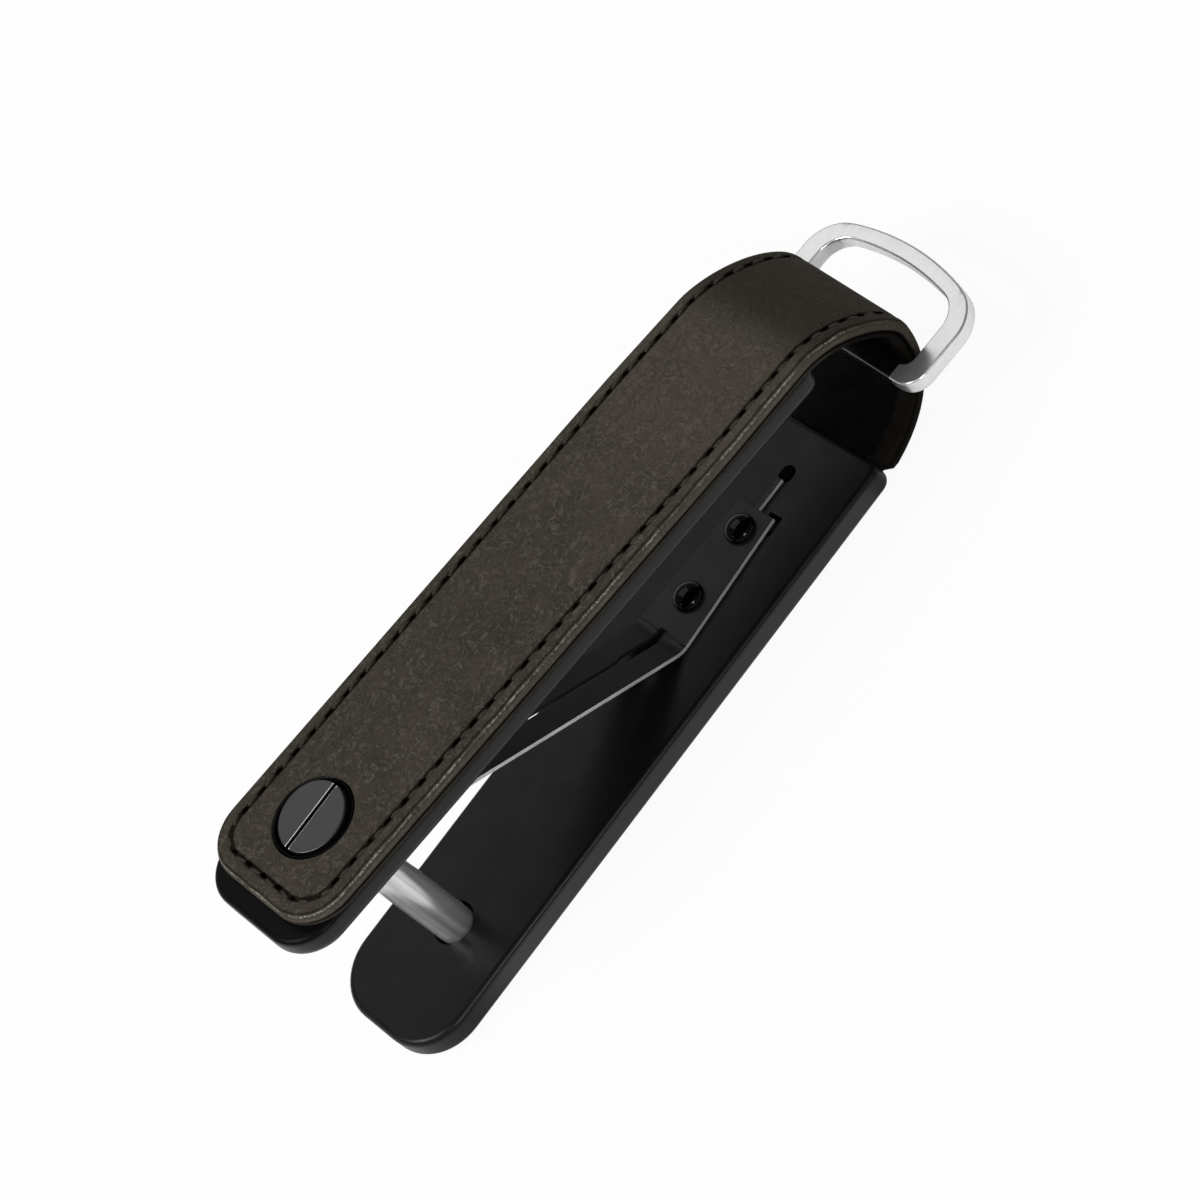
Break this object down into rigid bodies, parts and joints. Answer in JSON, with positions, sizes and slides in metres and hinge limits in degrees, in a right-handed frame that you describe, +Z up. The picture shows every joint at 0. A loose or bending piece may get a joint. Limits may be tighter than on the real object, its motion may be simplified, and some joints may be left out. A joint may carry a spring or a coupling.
{
  "type": "key organizer",
  "caption": "Leather key organizer: plates joined by a folded strap, clamped by a slotted screw and post, with a riveted leaf spring and a D-ring in the strap's loop.",
  "frame": {"origin": "on the surface the organizer lies on, under the middle of its overall length and width", "axes": "+X along the organizer from the screw end to the ring, +Z up through the clamp screw"},
  "size_m": [0.1016, 0.026, 0.0317],
  "materials": {
    "plate": "satin black",
    "leather": "dark grey-brown grained leather",
    "lining": "black lining",
    "post_steel": "turned steel",
    "screw_steel": "gunmetal",
    "black_metal": "gloss black",
    "spring_steel": "blackened steel",
    "ring_steel": "brushed"
  },
  "bodies": {
    "base": {"lower_plate": "plate", "strap_lower_leather": "leather", "strap_lower_lining": "lining", "barrel_post": "post_steel", "spring_base": "spring_steel", "rivet_front": "black_metal", "rivet_rear": "black_metal"},
    "upper_arm": {"upper_plate": "plate", "strap_upper_leather": "leather", "strap_upper_lining": "lining", "screw_eyelet": "black_metal"},
    "screw": {"clamp_screw": "screw_steel"},
    "finger_near": {"spring_finger_near": "spring_steel"},
    "finger_far": {"spring_finger_far": "spring_steel"},
    "ring": {"d_ring": "ring_steel"}
  },
  "joints": [
    {"name": "strap_bend", "type": "hinge", "parent": "base", "child": "upper_arm", "pos_m": [0.04243, 0, 0.014], "axis": [0.0558, 0.9984, 0], "range_deg": [0, 35]},
    {"name": "screw_turn", "type": "hinge", "parent": "upper_arm", "child": "screw", "pos_m": [-0.03702, 0, 0.0295], "axis": [0, 0, 1], "continuous": true},
    {"name": "finger_near_bend", "type": "hinge", "parent": "base", "child": "finger_near", "pos_m": [0.00068, 0.00085, 0.0038], "axis": [0, -1, 0], "range_deg": [0, 24], "stiffness_Nm_per_rad": 0.15},
    {"name": "finger_far_bend", "type": "hinge", "parent": "base", "child": "finger_far", "pos_m": [0.00068, 0.00085, 0.0038], "axis": [0, -1, 0], "range_deg": [0, 24], "stiffness_Nm_per_rad": 0.15},
    {"name": "ring_swing", "type": "hinge", "parent": "base", "child": "ring", "pos_m": [0.03812, 0, 0.01], "axis": [0.0558, 0.9984, 0], "range_deg": [-50, 60]}
  ]
}
